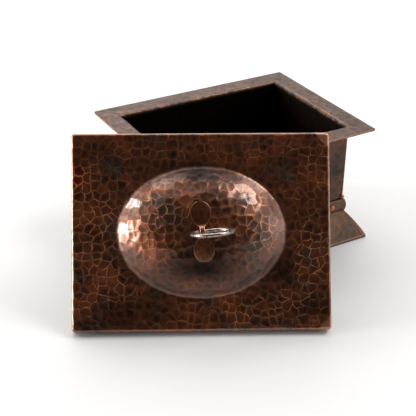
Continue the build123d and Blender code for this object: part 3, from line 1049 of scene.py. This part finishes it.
rim_edge = 0.25 * mm
rim_section = rounded_section(
    [
        (0, 0, rim_edge),
        (0, rim_height, 2 * rim_edge),
        (-rim_width, rim_height, rim_edge),
        (-rim_width, 0, rim_edge),
    ],
    0.8 * mm,
)
rim_line, rim_way = rounded_rectangle(
    foot_half_length, foot_half_length - wall_half_length + wall_half_width, rim_corner, 1.2 * mm
)
plan = rim_line[None] + rim_way[None] * np.maximum(rim_section[:, :1, None], -rim_corner * 0.98)
straight = np.minimum(rim_section[:, 0] + rim_corner * 0.98, 0)[:, None, None]
square_way = np.sign(rim_line) * (np.abs(rim_line) > np.abs(rim_line).max(0) - rim_corner)
plan = plan + straight * square_way[None]
rim_up = np.broadcast_to(rim_section[:, 1][:, None, None], (*plan.shape[:2], 1))
rim_place = np.concatenate([plan, rim_up], -1)
rim_run = run_length(rim_line) / mm
rim_around = run_length(rim_section) / mm
rim_flat = np.stack(np.broadcast_arrays(rim_run[None, :], 900 + rim_around[:, None]), -1)
rim_worn = 0.45 * np.exp(-((rim_section[:, 0] / (0.7 * mm)) ** 2)) * (rim_section[:, 1] > 0.3 * mm)
rim_grid = point_grid(rim_place, rim_flat, rim_worn[:, None], 0.15)
rim = wrapped("foot_rim_border", rim_grid, ends=False)
through_nodes(rim, hammering, mark_size=body_mark, dent_depth=0.15, tilt=0.0, wave=0.05, material=foot_copper)
finish_piece(rim, "box", "foot_copper", "foot_rim")

# %% [markdown]
# The floor is a plain plate that drops onto the band's inner step. It gets the same marks.

# %% Floor plate
floor_low, floor_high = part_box("floor_plate")
floor_x, floor_y = np.meshgrid(
    np.linspace(floor_low.x, floor_high.x, 111), np.linspace(floor_low.y, floor_high.y, 79)
)
floor_flat = np.stack([floor_x / mm + 1500, floor_y / mm], -1)
faces_of_floor = [
    point_grid(np.stack([floor_x, floor_y, np.full_like(floor_x, level)], -1), floor_flat, 0.0, 0.5, 0.2)
    for level in (floor_high.z, floor_low.z)
]
floor = stitched("floor_plate_sheet", *faces_of_floor)
through_nodes(floor, hammering, mark_size=body_mark, dent_depth=0.25, tilt=0.1, wave=0.2,
              material=body_copper)
finish_piece(floor, "box", "body_copper", "floor_plate")

# %% [markdown]
# Eight rivets hold the band to the walls, one near each corner of each side. One rivet is
# turned like a lathe part, and a Geometry Nodes tree sets a copy at each place, turned to
# face outwards.

# %% Rivets
head_radius = 2.4 * mm
head_height = 1.0 * mm
shank_radius = 1.2 * mm
tail_radius = 1.9 * mm
tail_height = 0.5 * mm
rivet_inset = 10.5 * mm
rivet_seat = band_bulge + 0.05 * mm
head_turn = np.linspace(0.03, 1, 8)
head = [(head_radius * t, rivet_seat + head_height * math.sqrt(1 - 0.97 * t**2)) for t in head_turn]
tail = [(tail_radius * t, -sheet - tail_height * math.sqrt(1 - 0.6 * t**2)) for t in np.linspace(1, 0.03, 4)]
profile = np.array([*head, (head_radius, rivet_seat), (shank_radius, rivet_seat), (shank_radius, -sheet),
                    (tail_radius, -sheet), *tail])
spin = np.linspace(0, 2 * math.pi, 29)[:-1]
radius = profile[:, 0][:, None]
rivet_place = np.stack(
    [radius * np.cos(spin), -profile[:, 1][:, None] + 0 * spin, radius * np.sin(spin)], -1
)
rivet_grid = point_grid(rivet_place, rivet_place / mm, 0.0, 0.0)
index = np.arange(rivet_grid.shape[0] * rivet_grid.shape[1]).reshape(rivet_grid.shape[:2])
index = np.concatenate([index, index[:, :1]], 1)
rivet = to_piece("rivet", rivet_grid, quads(index) + [index[0, :-1].tolist(), index[-1, :-1].tolist()])

setting = bpy.data.node_groups.new("rivet_setting", "GeometryNodeTree")
for label, kind in (("Geometry", "NodeSocketGeometry"), ("Rivet", "NodeSocketObject"),
                    ("Size", "NodeSocketFloat"), ("Material", "NodeSocketMaterial")):
    setting.interface.new_socket(label, in_out="INPUT", socket_type=kind)
setting.interface.new_socket("Geometry", in_out="OUTPUT", socket_type="NodeSocketGeometry")
given = setting.nodes.new("NodeGroupInput").outputs
turned = add(setting, "GeometryNodeInputNamedAttribute", {"data_type": "FLOAT"}, Name="turn")
about_z = add(setting, "CombineXYZ", Z=turned)
one = add(setting, "GeometryNodeObjectInfo", get="Geometry", Object=given["Rivet"])
cloud = add(setting, "GeometryNodeMeshToPoints", Mesh=given["Geometry"])
copies = add(setting, "GeometryNodeInstanceOnPoints", Points=cloud, Instance=one, Rotation=about_z,
             Scale=given["Size"])
whole = add(setting, "GeometryNodeRealizeInstances", Geometry=copies)
dressed = add(setting, "GeometryNodeSetMaterial", Geometry=whole, Material=given["Material"])
add(setting, "NodeGroupOutput", Geometry=dressed)

places, turns = [], []
for name, turn, half_length, distance in sides:
    for x in (-half_length + rivet_inset, half_length - rivet_inset):
        places.append(side_to_world(turn, distance) @ Vector((x, 0, rivet_height)))
        turns.append(math.radians(turn))
holes = bpy.data.meshes.new("rivet_places")
holes.from_pydata(places, [], [])
holes.attributes.new("turn", "FLOAT", "POINT").data.foreach_set("value", turns)
rivets = into_scene(bpy.data.objects.new("band_rivets_set", holes))
through_nodes(rivets, setting, rivet=rivet, size=1.0, material=bright_metal)
bpy.data.objects.remove(rivet)
finish_piece(rivets, "box", "bright_copper", "band_rivets", sharp=35)

# %% [markdown]
# The four corner beads are cast balls that wrap a corner and rest on the band. The packed
# model's own beads already have that shape, so they stay, and only get the rubbed finish.

# %% Corner beads
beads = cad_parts["corner_beads"]
beads.data.materials.clear()
beads.data.materials.append(bright_metal)
print("beads keep their shape and get", bright_metal.name)

# %% [markdown]
# The last step prints the two boxes, the imported model's and the finished one's, so that they can be
# compared.

# %% Sizes
made_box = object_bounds()
for low, high in (cad_box, made_box):
    print("box in mm:", [round((b - a) / mm, 1) for a, b in zip(low, high)])
